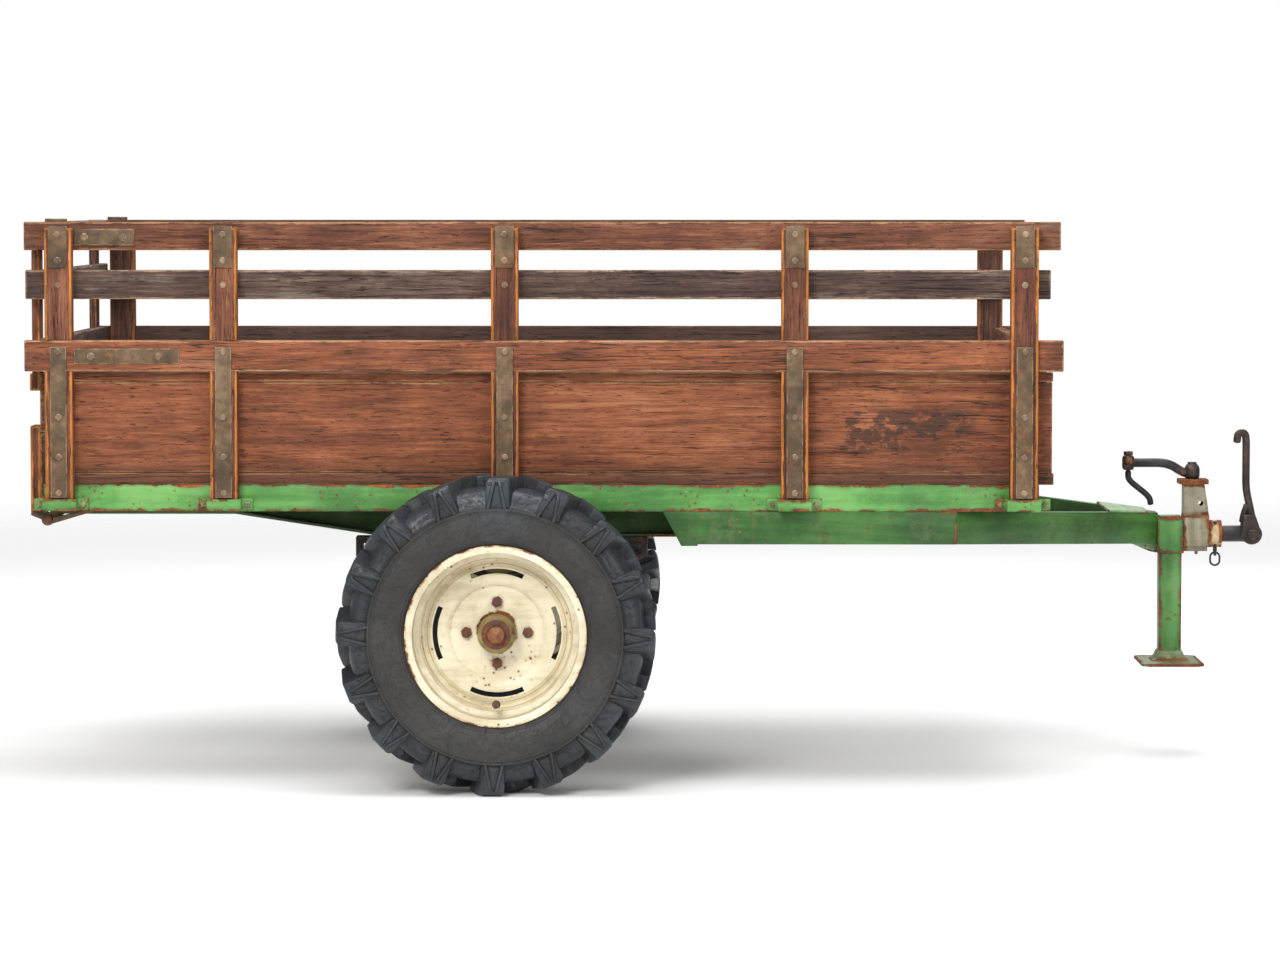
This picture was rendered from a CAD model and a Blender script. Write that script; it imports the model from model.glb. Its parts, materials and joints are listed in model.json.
"""Looks of a two-wheeled farm trailer with a slatted timber rack."""
import json
import math
import random

import bmesh
import bpy
from mathutils import Matrix, Vector, noise


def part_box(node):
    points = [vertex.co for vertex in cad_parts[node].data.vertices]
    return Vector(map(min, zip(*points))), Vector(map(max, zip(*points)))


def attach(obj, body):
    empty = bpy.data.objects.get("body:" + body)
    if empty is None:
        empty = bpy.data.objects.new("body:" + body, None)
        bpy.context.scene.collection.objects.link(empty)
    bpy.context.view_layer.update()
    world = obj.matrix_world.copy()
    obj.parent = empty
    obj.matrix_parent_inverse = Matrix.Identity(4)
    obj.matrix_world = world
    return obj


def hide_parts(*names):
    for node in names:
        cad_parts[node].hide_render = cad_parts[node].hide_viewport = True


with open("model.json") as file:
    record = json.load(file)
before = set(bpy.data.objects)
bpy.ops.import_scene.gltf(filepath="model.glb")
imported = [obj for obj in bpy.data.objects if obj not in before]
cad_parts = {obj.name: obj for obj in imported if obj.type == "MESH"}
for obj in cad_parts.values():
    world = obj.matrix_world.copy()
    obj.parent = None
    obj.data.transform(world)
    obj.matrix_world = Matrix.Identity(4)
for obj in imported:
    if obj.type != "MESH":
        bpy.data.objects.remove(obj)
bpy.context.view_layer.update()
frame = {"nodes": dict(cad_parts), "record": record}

chance = random.Random(41)
nodes = frame["nodes"]
body_of_node = {n: b for b, members in frame["record"]["behaviour"]["bodies"].items() for n in members}


# ---- Shader maths ----

class Value:
    """A shader socket. Sums, products and comparisons of values add their Math nodes."""

    def __init__(self, finish, socket):
        self.finish = finish
        self.socket = socket

    def maths(self, operation, *others):
        return self.finish.node("ShaderNodeMath", {"operation": operation}, dict(enumerate((self, *others))))

    def __add__(self, other):
        return self.maths("ADD", other)

    def __sub__(self, other):
        return self.maths("SUBTRACT", other)

    def __rsub__(self, other):
        return self.finish.node("ShaderNodeMath", {"operation": "SUBTRACT"}, {0: other, 1: self})

    def __mul__(self, other):
        return self.maths("MULTIPLY", other)

    def __abs__(self):
        return self.maths("ABSOLUTE")

    __radd__ = __add__
    __rmul__ = __mul__

    def least(self, other):
        return self.maths("MINIMUM", other)

    def most(self, other):
        return self.maths("MAXIMUM", other)

    def ramp(self, low, high):
        """0 below low, 1 above high, smooth between; low above high turns it over."""
        return self.finish.node("ShaderNodeMapRange", {"interpolation_type": "SMOOTHSTEP"},
                                {"Value": self, "From Min": low, "From Max": high})

    def parts(self):
        split = self.finish.tree.nodes.new("ShaderNodeSeparateXYZ")
        self.finish.tree.links.new(self.socket, split.inputs[0])
        return [Value(self.finish, s) for s in split.outputs]


class Finish:
    """One material and the nodes that make it."""

    def __init__(self, name):
        self.material = bpy.data.materials.new(name)
        self.material.use_nodes = True
        self.tree = self.material.node_tree
        self.shader = self.tree.nodes["Principled BSDF"]

    def node(self, kind, settings=None, inputs=None, out=0):
        made = self.tree.nodes.new(kind)
        for key, value in (settings or {}).items():
            if key == "stops":
                ends = made.color_ramp.elements
                while len(ends) < len(value):
                    ends.new(1.0)
                for end, (place, colour) in zip(ends, value):
                    end.position = place
                    end.color = (*colour, 1)
            else:
                setattr(made, key, value)
        for key, value in (inputs or {}).items():
            if isinstance(value, Value):
                self.tree.links.new(value.socket, made.inputs[key])
            else:
                made.inputs[key].default_value = value
        return Value(self, made.outputs[out])

    def place(self):
        return self.node("ShaderNodeTexCoord", out=3)

    def attribute(self, name, out=1):
        return self.node("ShaderNodeAttribute", {"attribute_name": name}, out=out)

    def stretch(self, vector, scale, shift=(0, 0, 0)):
        return self.node("ShaderNodeMapping", None, {"Vector": vector, "Scale": scale, "Location": shift})

    def noise(self, vector, scale, detail=3.0, rough=0.55, twist=0.0):
        return self.node("ShaderNodeTexNoise", None, {
            "Vector": vector, "Scale": scale, "Detail": detail, "Roughness": rough, "Distortion": twist})

    def cells(self, vector, scale, out=0):
        return self.node("ShaderNodeTexVoronoi", None, {"Vector": vector, "Scale": scale}, out)

    def colours(self, value, *stops):
        return self.node("ShaderNodeValToRGB", {"stops": stops}, {0: value})

    def mix(self, mask, under, over, blend="MIX"):
        under = under if isinstance(under, Value) else (*under, 1)
        over = over if isinstance(over, Value) else (*over, 1)
        return self.node("ShaderNodeMix", {"data_type": "RGBA", "blend_type": blend},
                         {0: mask, 6: under, 7: over}, out=2)

    def bump(self, height, depth, below=None):
        inputs = {"Height": height, "Distance": depth, "Strength": 1.0}
        if below:
            inputs["Normal"] = below
        return self.node("ShaderNodeBump", None, inputs)

    def wear(self, **sockets):
        """Feeds the shader's own sockets, by name."""
        for name, value in sockets.items():
            target = self.shader.inputs[name.replace("_", " ")]
            if isinstance(value, Value):
                self.tree.links.new(value.socket, target)
            else:
                target.default_value = value
        return self.material

    def board_axes(self):
        """A board's own coordinates, along, across and deep, each board with its own stretch of tree."""
        own = self.attribute("own_place")
        board = self.attribute("board", 2)
        far = self.node("ShaderNodeCombineXYZ", None, {0: board * 37.0, 1: board * 17.0, 2: board * 9.0})
        return self.node("ShaderNodeVectorMath", {"operation": "ADD"}, {0: own, 1: far}), board

    def from_edge(self):
        """Metres to the nearest edge of a piece's own box."""
        gaps = [half - abs(place) for half, place in
                zip(self.attribute("own_half").parts(), self.attribute("own_place").parts())]
        a, b, c = gaps
        return a.least(b).most(a.most(b).least(c)), a


BOARD_ROUGHNESS = 0.78


def timber(name, ramp, grey=0.3, bare=0.3, bare_colour=(0.40, 0.20, 0.09), streak=24.0, inside=0.86,
           smudge=None, splash=None):
    """Old stained board: fibres, figure, knots, checks, greying, bare worn places and a darker inner face.

    A smudge is a dark mark between two (x, z) corners. A splash is a dirty band that fades upwards
    from the first height to the second."""
    f = Finish(name)
    own, board = f.board_axes()
    edge, end = f.from_edge()
    world = f.place()
    fibre = f.noise(f.stretch(own, (9, 430, 430)), 1.0, 3, 0.65)
    lines = f.noise(f.stretch(own, (6.5, 120, 120)), 1.0, 6, 0.66, 0.7)
    figure = f.noise(f.stretch(own, (2.4, streak, streak)), 1.0, 5, 0.58, 1.5)
    blotch = f.noise(world, 4.4, 7, 0.66)
    speckle = f.noise(f.stretch(own, (70, 190, 190)), 1.0, 4, 0.7)
    tone = figure * 0.24 + lines * 0.28 + fibre * 0.14 + blotch * 0.24 + speckle * 0.10 + (board - 0.5) * 0.05
    colour = f.colours(tone.ramp(0.36, 0.64), *ramp)
    knot = f.cells(f.stretch(own, (1.15, 5.2, 5.2)), 1.0)
    colour = f.mix(knot.ramp(0.115, 0.075) * knot.ramp(0.02, 0.06) * 0.55, colour, (0.030, 0.014, 0.009))
    colour = f.mix(knot.ramp(0.06, 0.02) * 0.7, colour, (0.30, 0.13, 0.04))
    weather = f.noise(f.stretch(own, (2.6, 34, 34)), 1.0, 7, 0.72, 0.7)
    silver = (weather * 0.62 + blotch * 0.38).ramp(0.59 - 0.10 * grey, 0.70 - 0.10 * grey)
    silvered = f.colours(fibre, (0.3, (0.085, 0.070, 0.058)), (0.7, (0.30, 0.255, 0.205)))
    colour = f.mix(silver * min(1.0, 0.30 + grey), colour, silvered)
    chip = f.noise(world, 19, 7, 0.74)
    worn = (chip * 0.42 + weather * 0.33 + edge.ramp(0.014, 0.0) * 0.36).ramp(0.68 - 0.12 * bare, 0.735 - 0.12 * bare)
    fresh = f.colours(lines, (0.30, tuple(0.38 * c for c in bare_colour)), (0.52, bare_colour),
                      (0.72, tuple(min(1, 1.45 * c) for c in bare_colour)))
    colour = f.mix(worn * 0.82, colour, fresh)
    check = abs(f.noise(f.stretch(own, (1.5, 70, 70), (3, 1, 7)), 1.0, 3, 0.5, 0.5) - 0.5).ramp(0.009, 0.002)
    check = check * f.noise(own, 3.0, 2).ramp(0.46, 0.56)
    nick = f.noise(f.stretch(own, (30, 240, 240)), 1.0, 3, 0.6).ramp(0.63, 0.70)
    dark = check.most(nick * 0.75)
    colour = f.mix(dark * 0.85, colour, (0.024, 0.013, 0.010))
    grime = (end.ramp(0.075, 0.0) * f.noise(world, 26, 4).ramp(0.25, 0.7)).most(edge.ramp(0.006, 0.0) * 0.45)
    grime = grime.most(f.noise(world, 9, 7, 0.75).ramp(0.56, 0.74) * 0.6)
    colour = f.mix(grime * 0.55, colour, (0.030, 0.020, 0.016))
    if smudge:
        low, high = smudge
        x, y, z = world.parts()
        zone = x.ramp(low[0], low[0] + 0.06) * x.ramp(high[0], high[0] - 0.06) * y.ramp(0.1, -0.1)
        zone = zone * z.ramp(low[1], low[1] + 0.03) * z.ramp(high[1], high[1] - 0.03)
        tar = (f.noise(f.stretch(world, (22, 22, 34)), 1.0, 5, 0.62) * 0.7 + chip * 0.3).ramp(0.47, 0.53)
        colour = f.mix(zone * tar * 0.72, colour, (0.030, 0.021, 0.018))
    if splash:
        dirty = world.parts()[2].ramp(splash[1], splash[0]) * (blotch.ramp(0.3, 0.6) * 0.35 + 0.42)
        colour = f.mix(dirty, colour, (0.040, 0.022, 0.016))
    facing = f.node("ShaderNodeNewGeometry", out=1).parts()[1] * world.parts()[1]
    shade = facing.ramp(-0.05, -0.35) * inside
    inner = f.colours(lines * 0.6 + blotch * 0.4, (0.3, (0.022, 0.017, 0.015)), (0.55, (0.062, 0.045, 0.038)),
                      (0.75, (0.135, 0.105, 0.088)))
    colour = f.mix(shade, colour, inner)
    height = fibre * 0.30 + lines * 0.45 + figure * 0.15 - dark * 1.2 - worn * 0.3 + speckle * 0.2
    return f.wear(Base_Color=colour, Roughness=(worn * 0.12 + BOARD_ROUGHNESS + (lines - 0.5) * 0.25).least(1.0),
                  Normal=f.bump(height, 0.0026), Specular_IOR_Level=0.25)


def wheel_radius(f, place):
    """Distance from the wheels' axle, which both wheels share."""
    middle = sum(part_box("tyre_right"), Vector()) / 2
    x, _, z = f.node("ShaderNodeVectorMath", {"operation": "SUBTRACT"},
                     {0: place, 1: (middle.x, 0, middle.z)}).parts()
    return (x * x + z * z).maths("SQRT")


def rust_colours(f, place):
    grain = f.noise(place, 95, 5, 0.7) * 0.55 + f.noise(place, 14, 4) * 0.45
    return f.colours(grain, (0.30, (0.045, 0.018, 0.010)), (0.47, (0.13, 0.042, 0.016)),
                     (0.58, (0.26, 0.085, 0.024)), (0.72, (0.42, 0.17, 0.055)))


def paint(name, deep, main, faded, rust=0.4, rough=0.42, boxed=True, dust=(0.30, 0.26, 0.19), zones=(), rings=()):
    """Brushed machine paint, faded in places, with chips, rust creeping in from the edges and stain around it.

    Boxed paint is on straight pieces: it is brushed along them and rusts at their box's edges.
    A zone is (axis, from, to, amount): rust grows by that amount along the axis between the two places,
    and the axis "ring" runs out from the wheels' axle. Rings are the radii of thin dirty seams."""
    f = Finish(name)
    place = f.place()
    cloud = f.noise(place, 3.4, 6, 0.66)
    brush = f.noise(f.stretch(f.attribute("own_place") if boxed else place, (3, 45, 45)), 1.0, 4, 0.6)
    colour = f.colours((cloud * 0.66 + brush * 0.34).ramp(0.34, 0.66), (0.0, deep), (0.48, main), (1.0, faded))
    bite = f.noise(place, 24, 8, 0.74)
    patch = f.noise(place, 4.6, 5, 0.62)
    field = bite * 0.50 + patch * 0.40
    edge = f.from_edge()[0]
    field = field + (edge.ramp(0.016, 0.0) * 0.20 if boxed else 0.05)
    for axis, start, stop, amount in zones:
        along = wheel_radius(f, place) if axis == "ring" else place.parts()["xyz".index(axis)]
        field = field + along.ramp(start, stop) * amount
    line = 0.70 - 0.20 * rust
    rusty = field.ramp(line, line + 0.022)
    stain = field.ramp(line - 0.085, line + 0.015)
    dots = f.cells(place, 62)
    swarm = f.noise(place, 8, 4).ramp(0.54 - 0.1 * rust, 0.60)
    rusty = rusty.most(dots.ramp(0.20, 0.12) * swarm)
    stain = stain.most(dots.ramp(0.42, 0.15) * swarm * 0.6)
    runs = f.noise(f.stretch(place, (60, 60, 3.2)), 1.0, 5, 0.62).ramp(0.54, 0.72) * stain.most(0.30)
    colour = f.mix(stain * 0.55, colour, (0.62, 0.36, 0.15), "MULTIPLY")
    colour = f.mix(runs * 0.32, colour, (0.24, 0.12, 0.045))
    scrape = abs(f.noise(f.stretch(place, (9, 30, 30)), 1.0, 5, 0.7, 1.0) - 0.5).ramp(0.008, 0.001)
    scrape = scrape * bite.ramp(0.45, 0.6)
    colour = f.mix(scrape * 0.5, colour, tuple(min(1.0, 1.5 * c + 0.03) for c in faded))
    grime = f.noise(place, 12, 7, 0.72).ramp(0.50, 0.74)
    colour = f.mix(grime * 0.24, colour, dust)
    for radius in rings:
        seam = abs(wheel_radius(f, place) - radius).ramp(0.0017, 0.0005)
        colour = f.mix(seam * (cloud.ramp(0.35, 0.6) * 0.4 + 0.22), colour, (0.20, 0.12, 0.05))
    colour = f.mix(rusty, colour, rust_colours(f, place))
    height = rusty * (f.noise(place, 160, 4, 0.7) * 0.8 - 0.7) + brush * 0.12 + cloud * 0.1 - scrape * 0.2
    return f.wear(Base_Color=colour, Normal=f.bump(height, 0.0014), Specular_IOR_Level=0.45,
                  Roughness=(rusty * 0.45 + grime * 0.18 + rough + (brush - 0.5) * 0.16).least(0.97))


def iron(name, dark, main, light, rust=0.5, metal=0.35, rough=0.6):
    """Wrought or drawn iron, browned, with pitting, rust bloom and rubbed bright edges."""
    f = Finish(name)
    place = f.place()
    mottle = f.noise(place, 22, 7, 0.7) * 0.6 + f.noise(place, 4.5, 4) * 0.4
    colour = f.colours(mottle.ramp(0.34, 0.68), (0.0, dark), (0.5, main), (1.0, light))
    bloom = f.noise(place, 33, 6, 0.75) * 0.55 + f.noise(place, 7, 4) * 0.45
    bloom = bloom.ramp(0.60 - 0.14 * rust, 0.70 - 0.12 * rust)
    colour = f.mix(bloom * 0.8, colour, rust_colours(f, place))
    edge = f.from_edge()[0]
    rubbed = edge.ramp(0.0032, 0.0006) * f.noise(place, 40, 4).ramp(0.42, 0.6)
    colour = f.mix(rubbed * 0.55, colour, tuple(min(1, c * 1.9 + 0.02) for c in light))
    pits = f.noise(place, 210, 4, 0.75)
    height = pits * 0.7 + mottle * 0.5 + bloom * 0.3
    return f.wear(Base_Color=colour, Metallic=(1 - bloom) * metal, Normal=f.bump(height, 0.0009),
                  Roughness=(bloom * 0.25 + rough + (pits - 0.5) * 0.25).least(0.97), Specular_IOR_Level=0.4)


def tyre_rubber():
    """Weathered rubber: blue-black tread, duller dusty wall, faint mould rings, dark hollows and scuffs."""
    f = Finish("tyre_rubber")
    place = f.place()
    lobe = f.noise(place, 9, 6, 0.62)
    fine = f.noise(place, 120, 5, 0.7)
    tread = f.attribute("tread", 2)
    hollow = f.attribute("hollow", 2)
    ring = wheel_radius(f, place)
    wall = f.colours((lobe * 0.75 + fine * 0.25).ramp(0.3, 0.7),
                     (0, (0.0125, 0.0120, 0.0118)), (1, (0.034, 0.032, 0.030)))
    lugs = f.colours((lobe * 0.7 + fine * 0.3).ramp(0.3, 0.7),
                     (0, (0.0075, 0.0100, 0.0135)), (1, (0.026, 0.034, 0.043)))
    colour = f.mix(tread, wall, lugs)
    dust = (f.noise(place, 5.0, 6, 0.68) * 0.7 + fine * 0.3).ramp(0.53, 0.70)
    colour = f.mix(dust * (0.34 - tread * 0.22), colour, (0.105, 0.086, 0.064))
    sheen = f.noise(place, 3.2, 5, 0.6).ramp(0.48, 0.66)
    colour = f.mix(sheen * 0.25, colour, (0.060, 0.085, 0.115))
    scuff = abs(f.noise(f.stretch(place, (16, 16, 16)), 1.0, 7, 0.78, 1.2) - 0.5).ramp(0.014, 0.002)
    colour = f.mix(scuff * 0.28, colour, (0.13, 0.125, 0.115))
    colour = f.mix(hollow * 0.75, colour, (0.0045, 0.0048, 0.0052))
    mould = abs((ring * 330.0).maths("FRACT") - 0.5).ramp(0.5, 0.2) * ring.ramp(0.300, 0.295)
    return f.wear(Base_Color=colour, Roughness=(0.60 - tread * 0.22 + dust * 0.2 + (fine - 0.5) * 0.16).most(0.25),
                  Normal=f.bump(fine * 0.5 + lobe * 0.7 - scuff * 0.4 + mould * 0.10, 0.0013),
                  Specular_IOR_Level=0.5)


RED = ((0.0, (0.085, 0.030, 0.018)), (0.34, (0.190, 0.062, 0.030)),
       (0.66, (0.310, 0.102, 0.046)), (1.0, (0.46, 0.185, 0.085)))
RUSSET = ((0.0, (0.055, 0.022, 0.016)), (0.36, (0.130, 0.047, 0.028)),
          (0.68, (0.225, 0.082, 0.044)), (1.0, (0.36, 0.160, 0.088)))
BROWN = ((0.0, (0.034, 0.018, 0.014)), (0.38, (0.090, 0.040, 0.026)),
         (0.70, (0.160, 0.072, 0.043)), (1.0, (0.265, 0.145, 0.092)))
DUSKY = ((0.0, (0.024, 0.016, 0.015)), (0.40, (0.064, 0.037, 0.030)),
         (0.72, (0.112, 0.068, 0.052)), (1.0, (0.21, 0.15, 0.115)))
FLOOR = ((0.0, (0.040, 0.028, 0.022)), (0.45, (0.095, 0.064, 0.045)),
         (0.75, (0.165, 0.118, 0.085)), (1.0, (0.27, 0.22, 0.17)))
boards_low, boards_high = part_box("side_boards_right")


def deepened(ramp, share):
    return tuple((stop, tuple(share * part for part in colour)) for stop, colour in ramp)


finishes = {
    "side_boards": timber("red_boards", deepened(RED, 0.80), grey=0.10, bare=0.16, bare_colour=(0.46, 0.225, 0.105),
                          streak=20, smudge=((boards_high.x - 0.56, 0.80), (boards_high.x - 0.17, 0.935)),
                          splash=(boards_low.z, boards_low.z + 0.075)),
    "lower_rails": timber("red_rails", deepened(RED, 0.90), grey=0.20, bare=0.30, bare_colour=(0.44, 0.235, 0.12),
                          streak=28),
    "top_rails": timber("russet_rails", deepened(RUSSET, 0.78), grey=0.30, bare=0.28, bare_colour=(0.42, 0.21, 0.10),
                        streak=32),
    "middle_rails": timber("dusky_rails", DUSKY, grey=0.52, bare=0.22, bare_colour=(0.36, 0.24, 0.155), streak=34),
    "posts": timber("orange_posts", deepened(RUSSET, 0.80), grey=0.08, bare=0.90,
                    bare_colour=(0.58, 0.200, 0.036), streak=30, inside=0.45),
    "floor": timber("bed_floor", FLOOR, grey=0.7, bare=0.25, bare_colour=(0.26, 0.175, 0.11), streak=30, inside=0),
    "headboard": timber("headboard_red", RUSSET, grey=0.3, bare=0.25, streak=24, inside=0),
    "gate": timber("gate_boards", BROWN, grey=0.30, bare=0.35, streak=26, inside=0),
    "green": paint("green_paint", (0.040, 0.150, 0.028), (0.082, 0.262, 0.052), (0.155, 0.375, 0.098), rust=0.46),
    "green_deep": paint("green_paint_deep", (0.010, 0.048, 0.006), (0.020, 0.088, 0.010), (0.050, 0.160, 0.026),
                        rust=0.44),
    "green_leg": paint("green_paint_leg", (0.024, 0.095, 0.016), (0.048, 0.165, 0.030), (0.095, 0.260, 0.060),
                       rust=0.48),
    "green_foot": paint("green_paint_foot", (0.060, 0.090, 0.035), (0.115, 0.165, 0.070), (0.25, 0.29, 0.17),
                        rust=0.78, rough=0.55),
    "green_pale": paint("green_paint_pale", (0.11, 0.23, 0.09), (0.22, 0.36, 0.18), (0.38, 0.48, 0.32),
                        rust=0.40, rough=0.5),
    "dark_green": paint("dark_green_paint", (0.012, 0.034, 0.007), (0.027, 0.074, 0.015), (0.060, 0.125, 0.030),
                        rust=0.55),
    "cream": paint("cream_paint", (0.52, 0.445, 0.29), (0.72, 0.645, 0.465), (0.80, 0.735, 0.56),
                   rust=0.20, rough=0.36, boxed=False,
                   dust=(0.55, 0.44, 0.26), zones=(("ring", 0.208, 0.2185, 0.15), ("ring", 0.060, 0.046, 0.20)),
                   rings=(0.2000, 0.1820, 0.1690)),
    "cream_worn": paint("cream_paint_worn", (0.105, 0.092, 0.056), (0.205, 0.185, 0.122), (0.34, 0.315, 0.225),
                        rust=0.74, rough=0.5,
                        dust=(0.12, 0.085, 0.045), zones=(("z", 0.690, 0.703, 0.22),)),
    "cream_rusty": paint("cream_paint_rusty", (0.30, 0.20, 0.10), (0.46, 0.34, 0.19), (0.60, 0.50, 0.33),
                         rust=0.95, rough=0.55,
                         dust=(0.20, 0.12, 0.06)),
    "olive": paint("olive_paint", (0.085, 0.074, 0.020), (0.190, 0.155, 0.050), (0.32, 0.25, 0.10),
                   rust=0.86, rough=0.5, boxed=False),
    "strap": iron("strap_iron", (0.050, 0.030, 0.016), (0.120, 0.073, 0.036), (0.210, 0.140, 0.075),
                  rust=0.42, metal=0.10),
    "bolt": iron("bolt_iron", (0.080, 0.048, 0.030), (0.20, 0.125, 0.075), (0.36, 0.26, 0.17),
                 rust=0.40, metal=0.15, rough=0.5),
    "rusty": iron("rusty_iron", (0.050, 0.022, 0.016), (0.115, 0.046, 0.030), (0.20, 0.088, 0.055),
                  rust=0.62, metal=0.1, rough=0.66),
    "spindle": iron("spindle_iron", (0.16, 0.065, 0.028), (0.34, 0.150, 0.055), (0.50, 0.27, 0.11),
                    rust=0.30, metal=0.05, rough=0.66),
    "steel": iron("dark_steel", (0.008, 0.008, 0.009), (0.020, 0.018, 0.018), (0.050, 0.045, 0.043),
                  rust=0.26, metal=0.35, rough=0.36),
    "steel_rusty": iron("dark_steel_rusty", (0.012, 0.009, 0.008), (0.032, 0.020, 0.016), (0.070, 0.048, 0.038),
                        rust=0.50, metal=0.3, rough=0.50),
    "rubber": tyre_rubber(),
}


# ---- Mesh work ----

def copied(*names):
    """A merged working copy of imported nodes, with flat faces joined up."""
    mesh = bmesh.new()
    for name in names:
        mesh.from_mesh(nodes[name].data)
    bmesh.ops.remove_doubles(mesh, verts=mesh.verts, dist=0.00004)
    bmesh.ops.dissolve_limit(mesh, angle_limit=math.radians(1.2), verts=mesh.verts, edges=mesh.edges)
    return mesh


def loose_pieces(mesh):
    """Lists of vertices, one for each separate piece of a mesh."""
    seen, out = set(), []
    for start in mesh.verts:
        if start in seen:
            continue
        group, queue = [], [start]
        seen.add(start)
        while queue:
            v = queue.pop()
            group.append(v)
            for e in v.link_edges:
                other = e.other_vert(v)
                if other not in seen:
                    seen.add(other)
                    queue.append(other)
        out.append(group)
    return out


def extent(verts):
    low = Vector([min(v.co[i] for v in verts) for i in range(3)])
    high = Vector([max(v.co[i] for v in verts) for i in range(3)])
    return low, high


def long_axis(verts):
    """Direction between the two end groups of a piece that lies askew, or None if it lies square."""
    low, high = extent(verts)
    size = high - low
    along = max(range(3), key=lambda i: size[i])
    ends = [[v.co for v in verts if abs(v.co[along] - c[along]) < 0.04 * size[along] + 0.002] for c in (low, high)]
    middles = [sum(e, Vector()) / len(e) for e in ends]
    way = (middles[1] - middles[0]).normalized()
    return None if abs(way[along]) > math.cos(math.radians(2.0)) else way


def mark_boards(mesh):
    """Gives every loose piece its own coordinates, half sizes and a random tone, for the finishes."""
    own = mesh.verts.layers.float_vector.new("own_place")
    half = mesh.verts.layers.float_vector.new("own_half")
    tone = mesh.verts.layers.float.new("board")
    for verts in loose_pieces(mesh):
        way = long_axis(verts)
        if way:
            side = way.cross(Vector((0, 0, 1))).normalized()
            axes = (way, side.cross(way), side)
        else:
            axes = tuple(Vector([1.0 if i == k else 0.0 for i in range(3)]) for k in range(3))
        spans = [(min(v.co.dot(a) for v in verts), max(v.co.dot(a) for v in verts)) for a in axes]
        order = sorted(range(3), key=lambda k: spans[k][0] - spans[k][1])
        middle = [(spans[k][0] + spans[k][1]) / 2 for k in order]
        reach = Vector([(spans[k][1] - spans[k][0]) / 2 for k in order])
        shade = chance.random()
        for v in verts:
            v[own] = Vector([v.co.dot(axes[k]) - m for k, m in zip(order, middle)])
            v[half] = reach
            v[tone] = shade


def sharp_edges(mesh, degrees=35):
    return [e for e in mesh.edges if len(e.link_faces) == 2 and e.calc_face_angle(0) > math.radians(degrees)]


def round_off(mesh, width, segments=2, degrees=35, edges=None):
    edges = sharp_edges(mesh, degrees) if edges is None else edges
    if edges:
        bmesh.ops.bevel(mesh, geom=edges, offset=width, offset_type="OFFSET", affect="EDGES", segments=segments,
                        profile=0.5, material=-1, clamp_overlap=True, loop_slide=True)


def crease(mesh, degrees=38):
    for face in mesh.faces:
        face.smooth = True
    for edge in mesh.edges:
        if len(edge.link_faces) == 2:
            edge.smooth = edge.calc_face_angle(0) < math.radians(degrees)


def piece(mesh, name, finish, body, stands_for=(), degrees=38):
    """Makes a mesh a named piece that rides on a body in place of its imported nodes."""
    crease(mesh, degrees)
    mark_boards(mesh)
    data = bpy.data.meshes.new(name)
    mesh.to_mesh(data)
    mesh.free()
    thing = bpy.data.objects.new(name, data)
    bpy.context.scene.collection.objects.link(thing)
    data.materials.append(finishes[finish])
    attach(thing, body)
    if stands_for:
        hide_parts(*stands_for)
    return thing


def dress(node, name, finish, width=0.0012, segments=2, degrees=35):
    """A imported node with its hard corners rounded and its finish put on."""
    mesh = copied(node)
    round_off(mesh, width, segments, degrees)
    piece(mesh, name, finish, body_of_node[node], (node,))


SHORT_BLOCK = 0.12
NIBBLE_SPACING = 0.035
NIBBLE_DEPTH = 0.0016


def saw_boards(node, name, finish, width=0.0026):
    """Sawn boards: rounded, nibbled corners that wander a little along their length."""
    mesh = copied(node)
    runs = {}
    for verts in loose_pieces(mesh):
        low, high = extent(verts)
        size = high - low
        along = max(range(3), key=lambda i: size[i])
        edges = {e for v in verts for e in v.link_edges
                 if abs(e.verts[0].co[along] - e.verts[1].co[along]) > 0.85 * size[along]}
        if size[along] > SHORT_BLOCK:
            runs.setdefault(int(size[along] / NIBBLE_SPACING), set()).update(edges)
    for cuts, edges in runs.items():
        bmesh.ops.subdivide_edges(mesh, edges=[e for e in edges if e.is_valid], cuts=cuts)
    sawn = [extent(verts) for verts in loose_pieces(mesh)]
    round_off(mesh, width, 2, edges=sharp_edges(mesh, 35))
    for verts in loose_pieces(mesh):
        low, high = extent(verts)
        # a rounded corner never stands outside its own board
        low, high = min(sawn, key=lambda box: (box[0] - low).length + (box[1] - high).length)
        for v in verts:
            v.co = Vector([min(max(v.co[i], low[i]), high[i]) for i in range(3)])
        for v in verts:
            flat = [i for i in range(3) if min(v.co[i] - low[i], high[i] - v.co[i]) < 0.0001]
            if len(flat) == 1:
                continue
            pull = noise.noise(v.co * 23.0) * 0.6 + noise.noise(v.co * 71.0) * 0.6
            if pull > 0:
                middle = (low + high) / 2
                toward = Vector([0.0 if abs(v.co[i] - middle[i]) < 0.6 * (high[i] - low[i]) / 2
                                 else math.copysign(1.0, middle[i] - v.co[i]) for i in range(3)])
                if toward.length:
                    v.co += toward.normalized() * pull * NIBBLE_DEPTH
    piece(mesh, name, finish, body_of_node[node], (node,))


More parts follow.
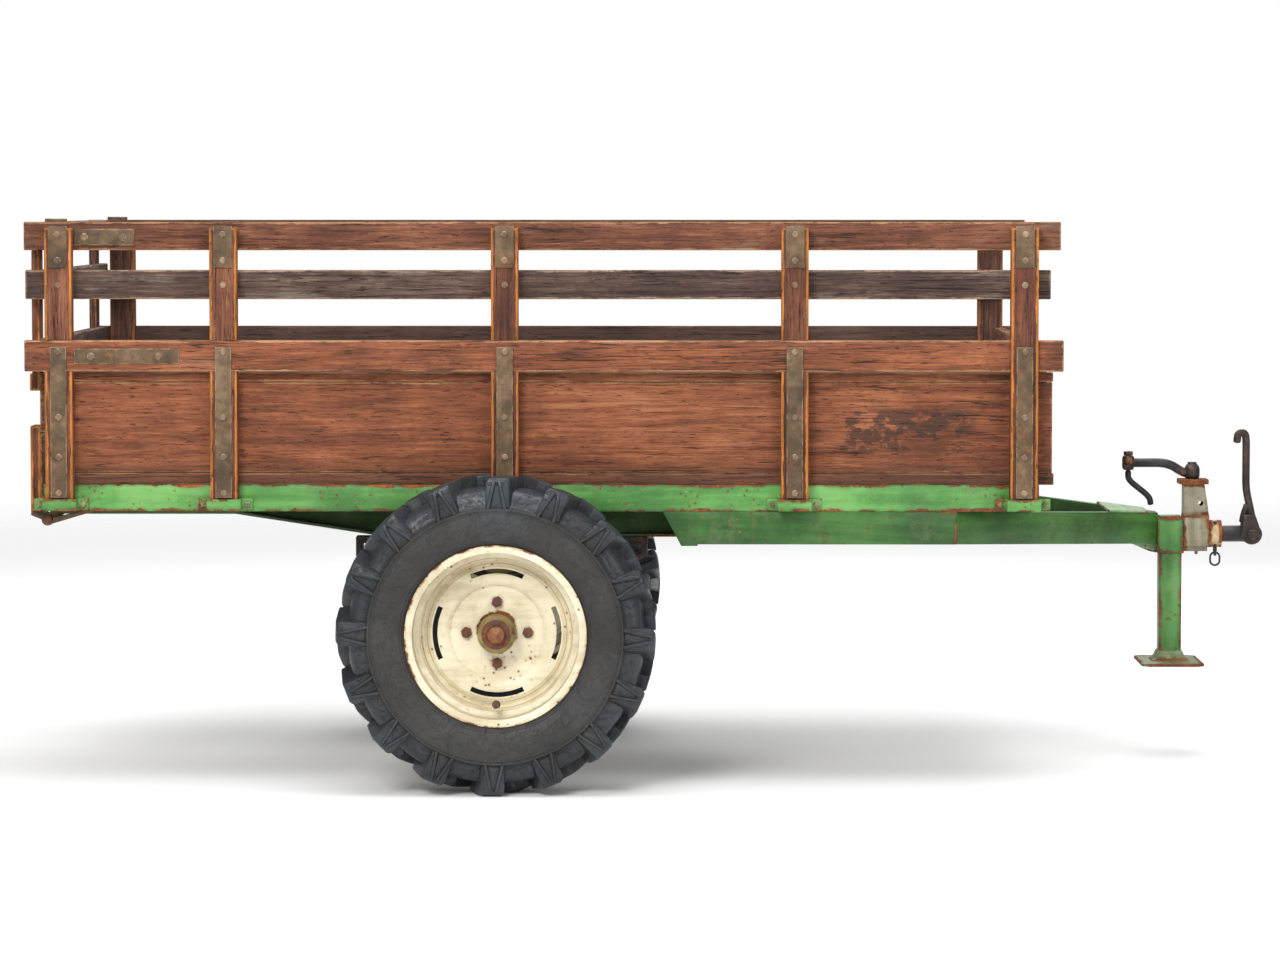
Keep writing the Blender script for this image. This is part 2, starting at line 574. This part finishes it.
def turned_bolt(mesh, seat, axis, radius, height, kind):
    """A bolt head that stands on its seat: low domed carriage head, square or hexagon with a washer under it."""
    turn = Vector((0, 0, 1)).rotation_difference(axis).to_matrix().to_4x4()
    spot = Matrix.Translation(seat) @ turn @ Matrix.Rotation(chance.uniform(0, 3.1), 4, "Z")
    sides = {"dome": 20, "square": 4, "hexagon": 6}[kind]
    layers = [(sides, radius, height, 0.0)] if kind == "dome" else [
        (20, radius, height * 0.24, 0.0),
        (sides, radius * (0.98 if kind == "square" else 0.86), height * 0.78, height * 0.22)]
    for corners, wide, tall, base in layers:
        made = bmesh.ops.create_cone(mesh, cap_ends=True, cap_tris=False, segments=corners, radius1=wide,
                                     radius2=wide * (0.9 if kind == "dome" else 1.0), depth=tall,
                                     matrix=spot @ Matrix.Translation((0, 0, base + tall / 2)))["verts"]
        faces = {f for v in made for f in v.link_faces}
        for face in faces:
            face.normal_update()
        top = [f for f in faces if f.normal.dot(axis) > 0.9]
        rim = list({e for f in top for e in f.edges})
        share, steps = (0.55, 5) if kind == "dome" else (0.2, 2)
        bmesh.ops.bevel(mesh, geom=rim, offset=min(tall * 0.62, wide * share), offset_type="OFFSET",
                        affect="EDGES", profile=0.5, material=-1, segments=steps, clamp_overlap=True)


def bolts(node, name, finish, kind="dome", swell=1.0):
    """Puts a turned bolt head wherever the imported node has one, facing away from the trailer's middle."""
    plain = copied(node)
    mesh = bmesh.new()
    for verts in loose_pieces(plain):
        low, high = extent(verts)
        middle = (low + high) / 2
        away = math.copysign(1.0, middle.y)
        tall = high.y - low.y
        seat = Vector((middle.x, low.y if away > 0 else high.y, middle.z))
        turned_bolt(mesh, seat, Vector((0, away, 0)), min(high.x - low.x, high.z - low.z) / 2 * swell, tall, kind)
    plain.free()
    piece(mesh, name, finish, body_of_node[node], (node,), 30)


UPRIGHT_IRON = 0.10


def corner_iron_bolts(side):
    """Carriage heads near both ends of the irons that lie along the rails."""
    plain = copied("side_irons_" + side)
    mesh = bmesh.new()
    for verts in loose_pieces(plain):
        low, high = extent(verts)
        if high.x - low.x < UPRIGHT_IRON:
            continue
        away = math.copysign(1.0, low.y + high.y)
        for share in (0.16, 0.80):
            seat = Vector((low.x + share * (high.x - low.x), high.y if away > 0 else low.y, (low.z + high.z) / 2))
            turned_bolt(mesh, seat, Vector((0, away, 0)), 0.0095, 0.0035, "dome")
    plain.free()
    piece(mesh, "corner_iron_bolts_" + side, "bolt", "side_rack_" + side, (), 30)


# ---- Bars, lathe work and plates ----

def swept(mesh, points, radius, bend=0.03, sides=16):
    """A round bar along points of one XZ plane, with smooth bends and rounded ends."""
    points = [Vector(p) for p in points]
    path = [points[0]]
    for before, corner, after in zip(points, points[1:], points[2:]):
        start = corner + (before - corner).normalized() * min(bend, (before - corner).length * 0.48)
        stop = corner + (after - corner).normalized() * min(bend, (after - corner).length * 0.48)
        path += [start.lerp(corner, k / 8).lerp(corner.lerp(stop, k / 8), k / 8) for k in range(9)]
    path.append(points[-1])
    ways = [(b - a).normalized() for a, b in zip(path, path[1:])]
    ways = [ways[0]] + [(a + b).normalized() for a, b in zip(ways, ways[1:])] + [ways[-1]]
    tip = ((0.42, 0.42), (0.28, 0.80))
    stops = [(path[0] - ways[0] * radius * past, ways[0], share) for past, share in tip]
    stops += [(p, w, 1.0) for p, w in zip(path, ways)]
    stops += [(path[-1] + ways[-1] * radius * past, ways[-1], share) for past, share in reversed(tip)]
    rings = []
    for spot, way, share in stops:
        side = way.cross(Vector((0, 1, 0))).normalized()
        rings.append([spot + (Vector((0, 1, 0)) * math.cos(a) + side * math.sin(a)) * radius * share
                      for a in (2 * math.pi * k / sides for k in range(sides))])
    made = lofted(mesh, rings)
    bmesh.ops.recalc_face_normals(mesh, faces=list({f for v in made if v.is_valid for f in v.link_faces}))


def lathed(mesh, foot, outline, steps=32):
    """Turns an outline of (radius, height) about an upright axis through foot; it starts and ends on the axis."""
    verts = [mesh.verts.new(Vector(foot) + Vector((r, 0, z))) for r, z in outline]
    edges = [mesh.edges.new(p) for p in zip(verts, verts[1:])]
    bmesh.ops.spin(mesh, geom=verts + edges, cent=foot, axis=(0, 0, 1), dvec=(0, 0, 0), angle=2 * math.pi,
                   steps=steps, use_merge=True, use_normal_flip=False)
    bmesh.ops.remove_doubles(mesh, verts=mesh.verts, dist=0.00002)
    bmesh.ops.recalc_face_normals(mesh, faces=mesh.faces)


def plate(mesh, outline, depth, width=0.001):
    """Thick plate: a flat outline pushed along depth, with its edges eased."""
    before = set(mesh.faces)
    depth = Vector(depth)
    face = mesh.faces.new([mesh.verts.new(p) for p in outline])
    grown = bmesh.ops.extrude_face_region(mesh, geom=[face], use_keep_orig=True)["geom"]
    for v in grown:
        if isinstance(v, bmesh.types.BMVert):
            v.co += depth
    fresh = [f for f in mesh.faces if f not in before]
    bmesh.ops.recalc_face_normals(mesh, faces=fresh)
    edges = [e for e in {e for f in fresh for e in f.edges} if e.calc_face_angle(0) > 0.5]
    round_off(mesh, width, 2, edges=edges)


def hitch_details():
    """Lever, crank, grip and foot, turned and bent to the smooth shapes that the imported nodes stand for."""
    low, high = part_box("lever_bolt")
    bolt = (low + high) / 2
    shaft = (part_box("draw_shaft")[1].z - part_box("draw_shaft")[0].z) / 2
    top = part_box("hitch_lever")[1].z
    lever = bmesh.new()
    for hand in (-1, 1):
        near, far = hand * (shaft + 0.001), hand * (shaft + 0.009)
        rim = [(-0.020, 0.046), (0.010, 0.046)]
        rim += [(0.0265 * math.sin(a), 0.0265 * math.cos(a)) for a in (math.radians(d) for d in range(50, 301, 12))]
        plate(lever, [bolt + Vector((x, near, z)) for x, z in rim], (0, far - near, 0), 0.0018)
    half = shaft + 0.0088
    plate(lever, [bolt + Vector((x, y, shaft + 0.012)) for x, y in
                  ((-0.020, -half), (0.010, -half), (0.010, half), (-0.020, half))], (0, 0, 0.017), 0.003)
    hook = Vector((bolt.x - 0.013, bolt.y, top - 0.013))
    neck = bolt + Vector((0, 0, shaft))
    bar = [neck + Vector((x, 0, z)) for x, z in ((0.004, 0.016), (-0.001, 0.040), (-0.013, 0.095))]
    bar += [hook + Vector((x, 0, z)) for x, z in (
        (0, -0.012), (-0.004, 0.0025), (-0.0215, 0.0015), (-0.0235, -0.020))]
    swept(lever, bar, 0.0098, 0.022)
    stub = [neck + Vector((x, 0, z)) for x, z in ((-0.0215, 0.010), (-0.018, 0.030), (-0.010, 0.052))]
    swept(lever, stub, 0.0085, 0.014)
    piece(lever, "hitch_lever_bar", "steel_rusty", "hitch_lever", ("hitch_lever",), 44)

    low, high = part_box("crank")
    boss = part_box("screw_spindle")
    centre = Vector(((boss[0].x + boss[1].x) / 2, 0, low.z))
    eye = Vector((low.x + 0.016, 0, high.z - 0.019))
    crank = bmesh.new()
    lathed(crank, centre, (
        (0, 0.0002), (0.0150, 0.0002), (0.0185, 0.003), (0.0198, 0.010), (0.0198, 0.024), (0.0180, 0.031),
        (0.0150, 0.036), (0.0120, 0.0385), (0.0110, 0.0428), (0.0060, 0.0428), (0.0052, 0.0385), (0, 0.0385)))
    lathed(crank, Vector((eye.x, 0, eye.z - 0.019)), (
        (0.0, 0.0005), (0.0115, 0.0005), (0.0140, 0.0030), (0.0158, 0.0085), (0.0158, 0.0290), (0.0145, 0.0350),
        (0.0115, 0.0375), (0, 0.0375)))
    swept(crank, [centre + Vector((-0.006, 0, 0.014)), centre + Vector((-0.024, 0, 0.016)),
                  Vector((centre.x - 0.062, 0, eye.z)), Vector((eye.x + 0.008, 0, eye.z))], 0.0115, 0.030)
    piece(crank, "screw_crank_arm", "steel", "crank", ("crank",), 44)

    low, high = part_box("grip_rod")
    grip = bmesh.new()
    under = eye.z - 0.0195
    swept(grip, [Vector((eye.x, 0, high.z - 0.003)), Vector((eye.x, 0, under - 0.002))], 0.0058, 0.01)
    swept(grip, [Vector((eye.x, 0, under - 0.004)), Vector((eye.x, 0, under - 0.024)),
                 Vector((high.x - 0.013, 0, low.z + 0.024)), Vector((high.x - 0.0095, 0, low.z + 0.0055))],
          0.0078, 0.020)
    piece(grip, "grip_rod_bent", "steel", "grip", ("grip_rod",), 44)

    low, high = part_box("leg_foot")
    middle = (low + high) / 2
    foot = bmesh.new()
    half = (high - low) / 2

    def cut_square(x, y, corner, z):
        """Outline of a rectangle with cut corners, x and y from its middle to its sides."""
        return [Vector((middle.x + a, middle.y + b, z)) for a, b in (
            (-x, -y + corner), (-x + corner, -y), (x - corner, -y), (x, -y + corner),
            (x, y - corner), (x - corner, y), (-x + corner, y), (-x, y - corner))]

    plate(foot, cut_square(half.x, half.y, 0.018, low.z), (0, 0, 0.0078), 0.0022)
    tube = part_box("support_leg")
    side = (tube[1].x - tube[0].x) / 2 + 0.0004
    skirt = [cut_square(side + out, side + out, 0.005 + out * 0.25, z) for out, z in (
        (0.0, high.z - 0.0005), (0.0028, high.z - 0.0010), (0.0048, high.z - 0.0060),
        (0.0080, low.z + 0.0200), (0.0125, low.z + 0.0125), (0.0200, low.z + 0.0080))]
    made = lofted(foot, skirt)
    bmesh.ops.recalc_face_normals(foot, faces=list({f for v in made if v.is_valid for f in v.link_faces}))
    piece(foot, "flared_leg_foot", "green_foot", "chassis", ("leg_foot",), 40)


# ---- Wheels ----

def spun(mesh, outline, steps=96, closed=True):
    """Spins an outline of (outwards, radius) about the wheel's axle, the outside towards -Y."""
    verts = [mesh.verts.new((0, -out, r)) for out, r in outline]
    pairs = list(zip(verts, verts[1:] + verts[:1])) if closed else list(zip(verts, verts[1:]))
    edges = [mesh.edges.new(p) for p in pairs]
    bmesh.ops.spin(mesh, geom=verts + edges, cent=(0, 0, 0), axis=(0, 1, 0), dvec=(0, 0, 0),
                   angle=2 * math.pi, steps=steps, use_merge=True, use_normal_flip=False)
    bmesh.ops.remove_doubles(mesh, verts=mesh.verts, dist=0.00002)


def lofted(mesh, sections):
    """Skins a run of sections that each have the same number of corners."""
    face = mesh.faces.new([mesh.verts.new(p) for p in sections[0]])
    here = list(face.verts)
    made = list(here)
    for section in sections[1:]:
        grown = bmesh.ops.extrude_face_region(mesh, geom=[face])["geom"]
        new_face = next(g for g in grown if isinstance(g, bmesh.types.BMFace))
        follow = [min(new_face.verts, key=lambda v, c=old.co: (v.co - c).length) for old in here]
        for v, spot in zip(follow, section):
            v.co = Vector(spot)
        if face.is_valid and len(made) > len(here):
            bmesh.ops.delete(mesh, geom=[face], context="FACES_ONLY")
        face, here = new_face, follow
        made += follow
    return made


LUGS = 16
LUG_LEAN = 0.46
# where the first lug stands, in lug spacings, on the outer and the inner side
FIRST_LUG = {1: 0.03, -1: 0.53}
SHOULDER = 0.3095
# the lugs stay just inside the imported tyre's outer circle
TYRE_REACH = 0.38498


def lug_turn(v, side):
    """How far round the tyre a vertex is from the first lug, in lug spacings."""
    return math.atan2(v.co.x, v.co.z) * LUGS / (2 * math.pi) - FIRST_LUG[side]


def tread_lug(mesh, angle, side):
    """One traction lug: a bar that leans back to the centre line, and a shoulder face with the two ribs of an A."""
    turn = Matrix.Rotation(angle, 4, "Y")
    bar = []
    for out, low, high, wide, narrow in (
            (-0.006, 0.345, 0.3832, 0.0215, 0.0165), (0.012, 0.345, 0.3848, 0.0230, 0.0178),
            (0.036, 0.343, 0.3850, 0.0255, 0.0205), (0.058, 0.335, 0.3846, 0.0275, 0.0235),
            (0.071, 0.322, 0.3830, 0.0285, 0.0250), (0.0780, 0.312, 0.3800, 0.0285, 0.0255),
            (0.0815, 0.310, 0.3735, 0.0280, 0.0250)):
        shift = (0.085 - out) * LUG_LEAN
        bar.append([turn @ Vector((shift + x, -out * side, r)) for x, r in (
            (-wide, low), (wide, low), (narrow + 0.0015, high - 0.004), (narrow - 0.003, high),
            (-narrow + 0.003, high), (-narrow - 0.0015, high - 0.004))])
    made = lofted(mesh, bar)
    shield = []
    for r, apart, raised in (
            (0.3075, 0.0205, 0.0896), (0.318, 0.0183, 0.0899), (0.334, 0.0148, 0.0897), (0.350, 0.0112, 0.0885),
            (0.363, 0.0084, 0.0868), (0.372, 0.0068, 0.0845), (0.3785, 0.0062, 0.0800)):
        wide, rib = 0.0265 - max(0.0, r - 0.365) * 0.25, 0.0040
        flank, pit = raised - 0.0052, raised - 0.0085 + max(0.0, r - 0.350) * 0.25
        half = ((wide, flank - 0.007), (wide - 0.002, flank),
                (apart + rib + 0.0012, flank), (apart + rib - 0.001, raised),
                (apart - rib + 0.001, raised), (apart - rib - 0.0012, pit))
        outline = [(-x, out) for x, out in half] + [(x, out) for x, out in reversed(half)]
        outline += [(wide - 0.002, 0.066), (0.002 - wide, 0.066)]
        shield.append([turn @ Vector((x, -out * side, r)) for x, out in outline])
    return made, lofted(mesh, shield)


def tyre(hand):
    """The whole tyre about the origin: hollow carcass with moulded rings and scooped voids, and both rows of lugs."""
    mesh = bmesh.new()
    outer = [(0.0585, 0.206), (0.0655, 0.2225), (0.0735, 0.2265), (0.0745, 0.2300), (0.0775, 0.2310),
             (0.0815, 0.240), (0.0860, 0.254), (0.0882, 0.270), (0.0889, 0.286), (0.0884, 0.2962),
             (0.0898, 0.2975), (0.0898, 0.2995), (0.0882, 0.3005), (0.0882, 0.3030), (0.0898, 0.3042),
             (0.0898, 0.3072), (0.0872, 0.3088), (0.0820, 0.3105), (0.0775, 0.3140), (0.0745, 0.3200),
             (0.0728, 0.3280), (0.0712, 0.3360), (0.0680, 0.3440), (0.0610, 0.3510), (0.0500, 0.3555),
             (0.0300, 0.3582), (0.0100, 0.3590)]
    inner = [(0.0100, 0.343), (0.0500, 0.339), (0.0630, 0.325), (0.0670, 0.310), (0.0740, 0.298),
             (0.0770, 0.275), (0.0700, 0.250), (0.0480, 0.232), (0.0460, 0.206)]
    ring = outer + [(-out, r) for out, r in reversed(outer)] + [(-out, r) for out, r in reversed(inner)] + inner
    spun(mesh, ring, LUGS * 10)
    bmesh.ops.recalc_face_normals(mesh, faces=mesh.faces)
    for v in mesh.verts:
        r, out = math.hypot(v.co.x, v.co.z), -v.co.y
        if r < SHOULDER or (abs(out) < 0.062 and r < 0.349) or abs(out) < 0.02:
            continue
        turn = lug_turn(v, 1 if out > 0 else -1)
        void = 1 - (2 * (turn - math.floor(turn)) - 1) ** 2
        depth = min(1.0, (r - SHOULDER) / 0.010) * min(1.0, max(0.0, (0.362 - r) / 0.010)) * void
        v.co.y += math.copysign(0.0045 * depth, out)
        v.co.x *= 1 - 0.010 * depth
        v.co.z *= 1 - 0.010 * depth
    tread = mesh.verts.layers.float.new("tread")
    hollow = mesh.verts.layers.float.new("hollow")
    bars, shields = [], []
    for i in range(LUGS):
        for side, start in FIRST_LUG.items():
            bar, shield = tread_lug(mesh, 2 * math.pi * (i + start) / LUGS, side)
            bars += bar
            shields += shield
    faces = list({f for v in bars + shields for f in v.link_faces})
    bmesh.ops.recalc_face_normals(mesh, faces=faces)
    for v in shields:
        near = abs(math.remainder(lug_turn(v, 1 if v.co.y < 0 else -1), 1.0))
        r = math.hypot(v.co.x, v.co.z)
        apart = 0.0205 - (r - 0.3075) * 0.219
        v[hollow] = 1.0 if near * 2 * math.pi * r / LUGS < apart - 0.0040 and r < 0.376 else 0.0
    edges = [e for e in {e for f in faces for e in f.edges} if len(e.link_faces) == 2 and e.calc_face_angle(0) > 0.5]
    round_off(mesh, 0.0014, 2, edges=edges)
    for v in mesh.verts:
        r = math.hypot(v.co.x, v.co.z)
        v[tread] = min(1.0, max(0.0, (r - 0.3085) / 0.012))
        if r > TYRE_REACH:
            v.co.x *= TYRE_REACH / r
            v.co.z *= TYRE_REACH / r
    if hand < 0:
        bmesh.ops.scale(mesh, vec=(1, -1, 1), verts=mesh.verts)
        bmesh.ops.reverse_faces(mesh, faces=mesh.faces)
    return mesh


VALVE_RADIUS = 0.168


def wheel(side, hand):
    low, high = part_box("tyre_" + side)
    middle = (low + high) / 2
    body = "wheel_" + side
    rubber = tyre(hand)
    bmesh.ops.translate(rubber, vec=middle, verts=rubber.verts)
    piece(rubber, "lugged_tyre_" + side, "rubber", body, ("tyre_" + side,), 42)
    dress("rim_" + side, "wheel_rim_" + side, "cream", 0.0016, 2, 40)
    dress("hub_" + side, "wheel_hub_" + side, "olive", 0.0014, 2, 40)
    bolts("wheel_bolts_" + side, "wheel_bolt_heads_" + side, "rusty", "hexagon", 1.25)
    stem = bmesh.new()
    face = middle.y - hand * 0.022
    for out, radius, tall, sides in ((0.0, 0.0105, 0.006, 24), (0.006, 0.0070, 0.022, 20), (0.026, 0.0085, 0.012, 6)):
        spot = Matrix.Translation((middle.x, face - hand * (out + tall / 2), middle.z - VALVE_RADIUS))
        bmesh.ops.create_cone(stem, cap_ends=True, segments=sides, radius1=radius, radius2=radius * 0.86, depth=tall,
                              matrix=spot @ Matrix.Rotation(hand * math.pi / 2, 4, "X"))
    round_off(stem, 0.001, 2)
    piece(stem, "tyre_valve_" + side, "rusty", body, (), 40)
    dress("bearings_" + side, "wheel_bearings_" + side, "rusty", 0.0006)


for side, hand in (("right", 1), ("left", -1)):
    wheel(side, hand)


# ---- Rack, bed and tailgate ----

for side in ("right", "left"):
    saw_boards("posts_" + side, "rack_posts_" + side, "posts", 0.0030)
    saw_boards("top_rail_" + side, "top_rail_board_" + side, "top_rails")
    saw_boards("middle_rail_" + side, "middle_rail_board_" + side, "middle_rails")
    saw_boards("lower_rail_" + side, "lower_rail_board_" + side, "lower_rails")
    saw_boards("side_boards_" + side, "side_planks_" + side, "side_boards", 0.0020)
    dress("side_irons_" + side, "rack_irons_" + side, "strap", 0.0012)
    bolts("side_bolts_" + side, "carriage_bolts_" + side, "bolt")
    corner_iron_bolts(side)
    dress("bed_rail_" + side, "bed_rail_channel_" + side, "green", 0.0022)
    dress("drawbar_" + side, "drawbar_channel_" + side, "green_deep", 0.0020)

saw_boards("floor_planks", "bed_floor_planks", "floor")
saw_boards("headboard", "headboard_planks", "headboard")
saw_boards("tailgate_boards", "tailgate_planks", "gate")
saw_boards("tailgate_slats", "tailgate_rails", "middle_rails")
saw_boards("tailgate_posts", "tailgate_uprights", "posts")
dress("tailgate_hinges", "gate_hinge_arms", "strap")
dress("tailgate_brackets", "gate_hinge_brackets", "strap")
dress("tailgate_pins", "gate_hinge_pins", "rusty", 0.001)

# ---- Chassis ----

for node, name, finish, slot, width in (
        ("crossmembers", "bed_crossmembers", "dark_green", "dark_green_paint", 0.0015),
        ("main_beams", "main_beams_green", "dark_green", "dark_green_paint", 0.0015),
        ("drawbar_plates", "drawbar_top_plate", "green_pale", "green_paint", 0.0012),
        ("axle_hangers", "axle_hanger_frames", "steel_rusty", "dark_steel", 0.0015),
        ("axle_beam", "square_axle", "steel_rusty", "dark_steel", 0.0020),
        ("spindles", "wheel_spindles", "spindle", "dark_steel", 0.0020),
        ("stake_pockets", "stake_pocket_loops", "green", "green_paint", 0.0014)):
    dress(node, name, finish, width)
bolts("pocket_bolts", "pocket_bolt_heads", "bolt", "square")
for node, name, finish, slot, width in (
        ("support_leg", "support_leg_tube", "green_leg", "green_paint", 0.0022),
        ("leg_sleeve", "leg_sleeve_tube", "green_leg", "green_paint", 0.0018),
        ("hitch_block", "hitch_block_plates", "cream_worn", "cream_paint", 0.0016),
        ("hitch_mast", "hitch_mast_tube", "cream_worn", "cream_paint", 0.0016),
        ("hitch_collar", "hitch_collar_ring", "cream_rusty", "cream_paint", 0.0012),
        ("grease_nipple", "grease_nipple_brass", "bolt", "bolt_iron", 0.0004),
        ("screw_spindle", "lifting_screw", "steel_rusty", "dark_steel", 0.0006),
        ("grip_nut", "grip_nut_hexagon", "steel_rusty", "dark_steel", 0.0008),
        ("draw_shaft", "draw_shaft_bar", "steel", "dark_steel", 0.0012),
        ("lever_bolt", "lever_pivot_bolt", "steel_rusty", "dark_steel", 0.0010),
        ("lock_pin", "lock_pin_eye", "steel_rusty", "dark_steel", 0.0008),
        ("pull_ring", "pull_ring_loop", "steel_rusty", "dark_steel", 0.0004)):
    dress(node, name, finish, width)
hitch_details()


# ---- Floor, light and camera ----

def studio():
    sheet = bmesh.new()
    bmesh.ops.create_circle(sheet, cap_ends=True, segments=96, radius=60.0)
    data = bpy.data.meshes.new("studio_floor")
    sheet.to_mesh(data)
    sheet.free()
    ground = bpy.data.objects.new("studio_floor", data)
    bpy.context.scene.collection.objects.link(ground)
    f = Finish("studio_paper")
    x, y, _ = f.place().parts()
    away = (x * x + y * y).maths("SQRT")
    data.materials.append(f.wear(Base_Color=(0.86, 0.86, 0.855, 1), Roughness=0.9, Specular_IOR_Level=0.1,
                                 Alpha=away.ramp(11.0, 4.5)))

    world = bpy.data.worlds.new("studio")
    world.use_nodes = True
    tree = world.node_tree
    sky = tree.nodes["Background"]
    sky.inputs[0].default_value = (1.0, 1.0, 1.0, 1)
    seen = tree.nodes.new("ShaderNodeLightPath")
    height = tree.nodes.new("ShaderNodeSeparateXYZ")
    tree.links.new(tree.nodes.new("ShaderNodeTexCoord").outputs["Generated"], height.inputs[0])
    shade = tree.nodes.new("ShaderNodeValToRGB")
    stops = shade.color_ramp.elements
    for stop, colour in ((stops[0], (0.22, 0.22, 0.22)), (stops[1], (0.66, 0.73, 0.82)),
                         (stops.new(0.5), (0.29, 0.295, 0.30))):
        stop.color = (*colour, 1)
    tilt = tree.nodes.new("ShaderNodeMapRange")
    tilt.inputs["From Min"].default_value = -1.0
    tree.links.new(height.outputs[2], tilt.inputs["Value"])
    tree.links.new(tilt.outputs[0], shade.inputs[0])
    blank = tree.nodes.new("ShaderNodeMix")
    blank.data_type = "RGBA"
    blank.inputs[7].default_value = (1, 1, 1, 1)
    tree.links.new(seen.outputs["Is Camera Ray"], blank.inputs[0])
    tree.links.new(shade.outputs[0], blank.inputs[6])
    tree.links.new(blank.outputs[2], sky.inputs[0])
    bpy.context.scene.world = world

    for name, place, aim, size, watts, tint in (
            ("key_softbox", (-2.4, -6.4, 4.8), (0.1, 0, 0.8), 3.0, 360, (1.0, 0.985, 0.96)),
            ("fill_softbox", (4.4, -6.2, 2.4), (0.4, 0, 0.6), 3.2, 105, (0.95, 0.975, 1.0)),
            ("overhead_softbox", (0.2, -0.9, 5.6), (0.1, 0, 0.6), 4.2, 175, (0.97, 0.985, 1.0)),
            ("rim_softbox", (0.5, 5.0, 4.6), (0, 0, 0.8), 3.4, 150, (1.0, 1.0, 1.0))):
        light = bpy.data.lights.new(name, "AREA")
        light.shape = "DISK"
        light.size = size
        light.energy = watts
        light.color = tint
        lamp = bpy.data.objects.new(name, light)
        lamp.location = place
        lamp.rotation_euler = (Vector(aim) - Vector(place)).to_track_quat("-Z", "Y").to_euler()
        bpy.context.scene.collection.objects.link(lamp)

    eye = bpy.data.cameras.new("trailer_view")
    eye.lens = 128.0
    eye.sensor_width = 36.0
    eye.clip_end = 200.0
    viewer = bpy.data.objects.new("trailer_view", eye)
    viewer.location = (0.068, -11.69, 1.429)
    viewer.rotation_euler = (math.radians(90 - 3.52), 0, math.radians(0.604))
    bpy.context.scene.collection.objects.link(viewer)
    bpy.context.scene.camera = viewer
    bpy.context.scene.view_settings.view_transform = "Standard"


studio()
